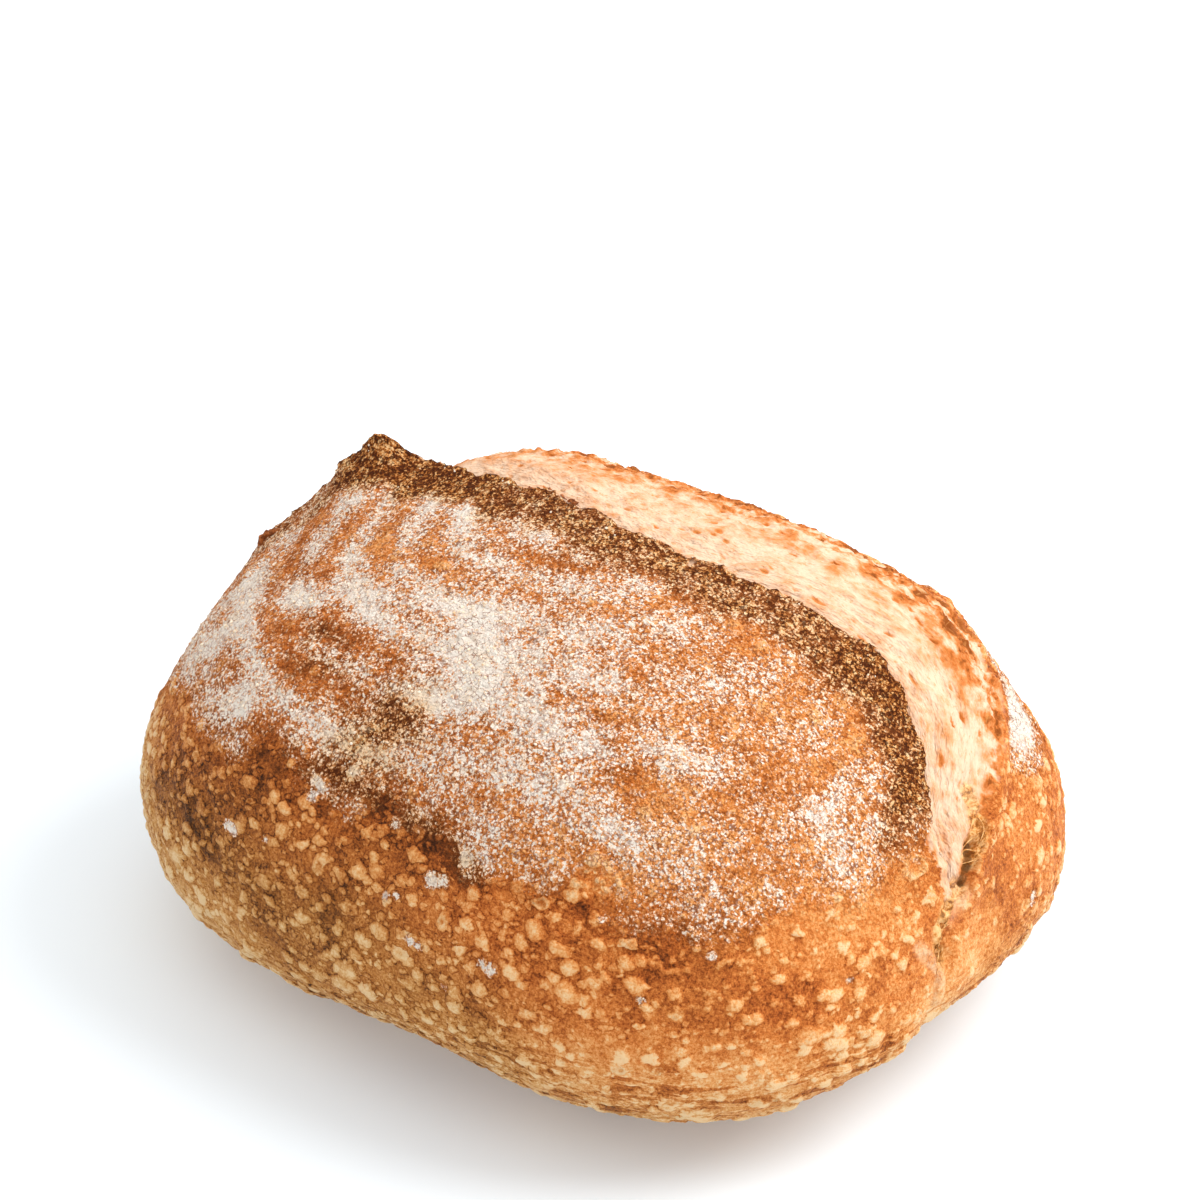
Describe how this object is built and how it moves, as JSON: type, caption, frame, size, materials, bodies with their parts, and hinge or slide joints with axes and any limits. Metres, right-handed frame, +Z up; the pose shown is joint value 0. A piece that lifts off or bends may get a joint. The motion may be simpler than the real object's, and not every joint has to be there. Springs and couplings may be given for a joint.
{
  "type": "sourdough loaf",
  "caption": "Short oval sourdough loaf with a long cut over its top, a crisp ear of crust standing along the cut, and pale dough swelling out behind it.",
  "frame": {"origin": "middle of the loaf's outline, on the table it rests on", "axes": "+X along the loaf towards the end where the cut gapes, +Y towards the swollen dough, +Z up"},
  "size_m": [0.239, 0.1958, 0.1241],
  "materials": {
    "crust": "matt baked crust, dusted with flour, with a slight gloss on its blisters"
  },
  "bodies": {
    "root": {"loaf": "crust"}
  },
  "joints": []
}
